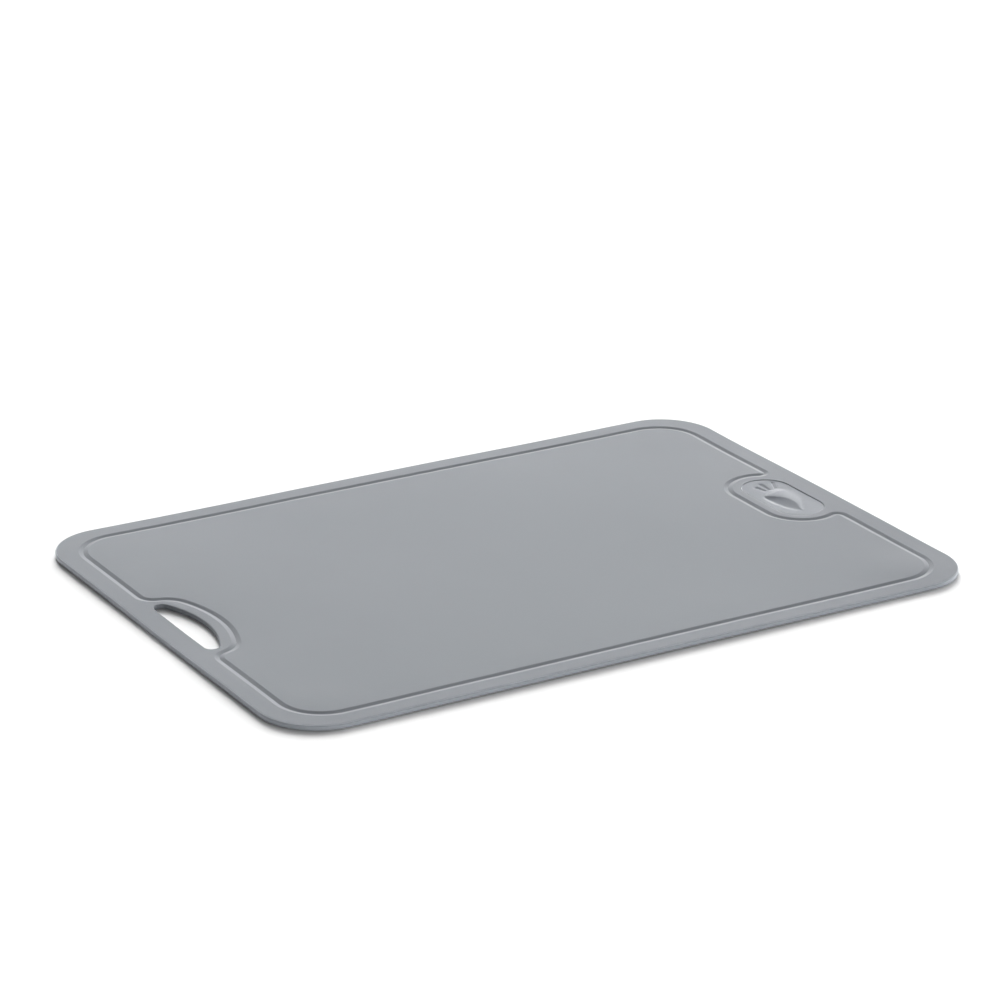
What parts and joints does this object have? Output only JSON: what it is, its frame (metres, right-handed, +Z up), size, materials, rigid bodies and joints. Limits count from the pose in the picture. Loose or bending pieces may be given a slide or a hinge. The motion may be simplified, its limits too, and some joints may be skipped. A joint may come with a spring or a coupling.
{
  "type": "flexible cutting mat",
  "caption": "Thin flexible cutting mat with rounded corners, a juice groove, a bowed hand slot at one end, a dish with a raised carrot at the other, and soft grip feet underneath.",
  "frame": {"origin": "middle of the mat in plan, on the plane that the grip feet stand on", "axes": "+X along the mat from the hand slot to the dish, +Y across it, +Z up out of the cutting surface"},
  "size_m": [0.36, 0.25, 0.0028],
  "materials": {
    "mat_sheet": "moulded flexible plastic with a fine satin grain",
    "grip_feet": "matte soft elastomer"
  },
  "bodies": {
    "root": {"mat_body": "mat_sheet", "grip_foot_front_1": "grip_feet", "grip_foot_front_2": "grip_feet", "grip_foot_front_3": "grip_feet", "grip_foot_front_4": "grip_feet", "grip_foot_middle_1": "grip_feet", "grip_foot_middle_2": "grip_feet", "grip_foot_middle_3": "grip_feet", "grip_foot_back_1": "grip_feet", "grip_foot_back_2": "grip_feet", "grip_foot_back_3": "grip_feet", "grip_foot_back_4": "grip_feet"}
  },
  "joints": []
}
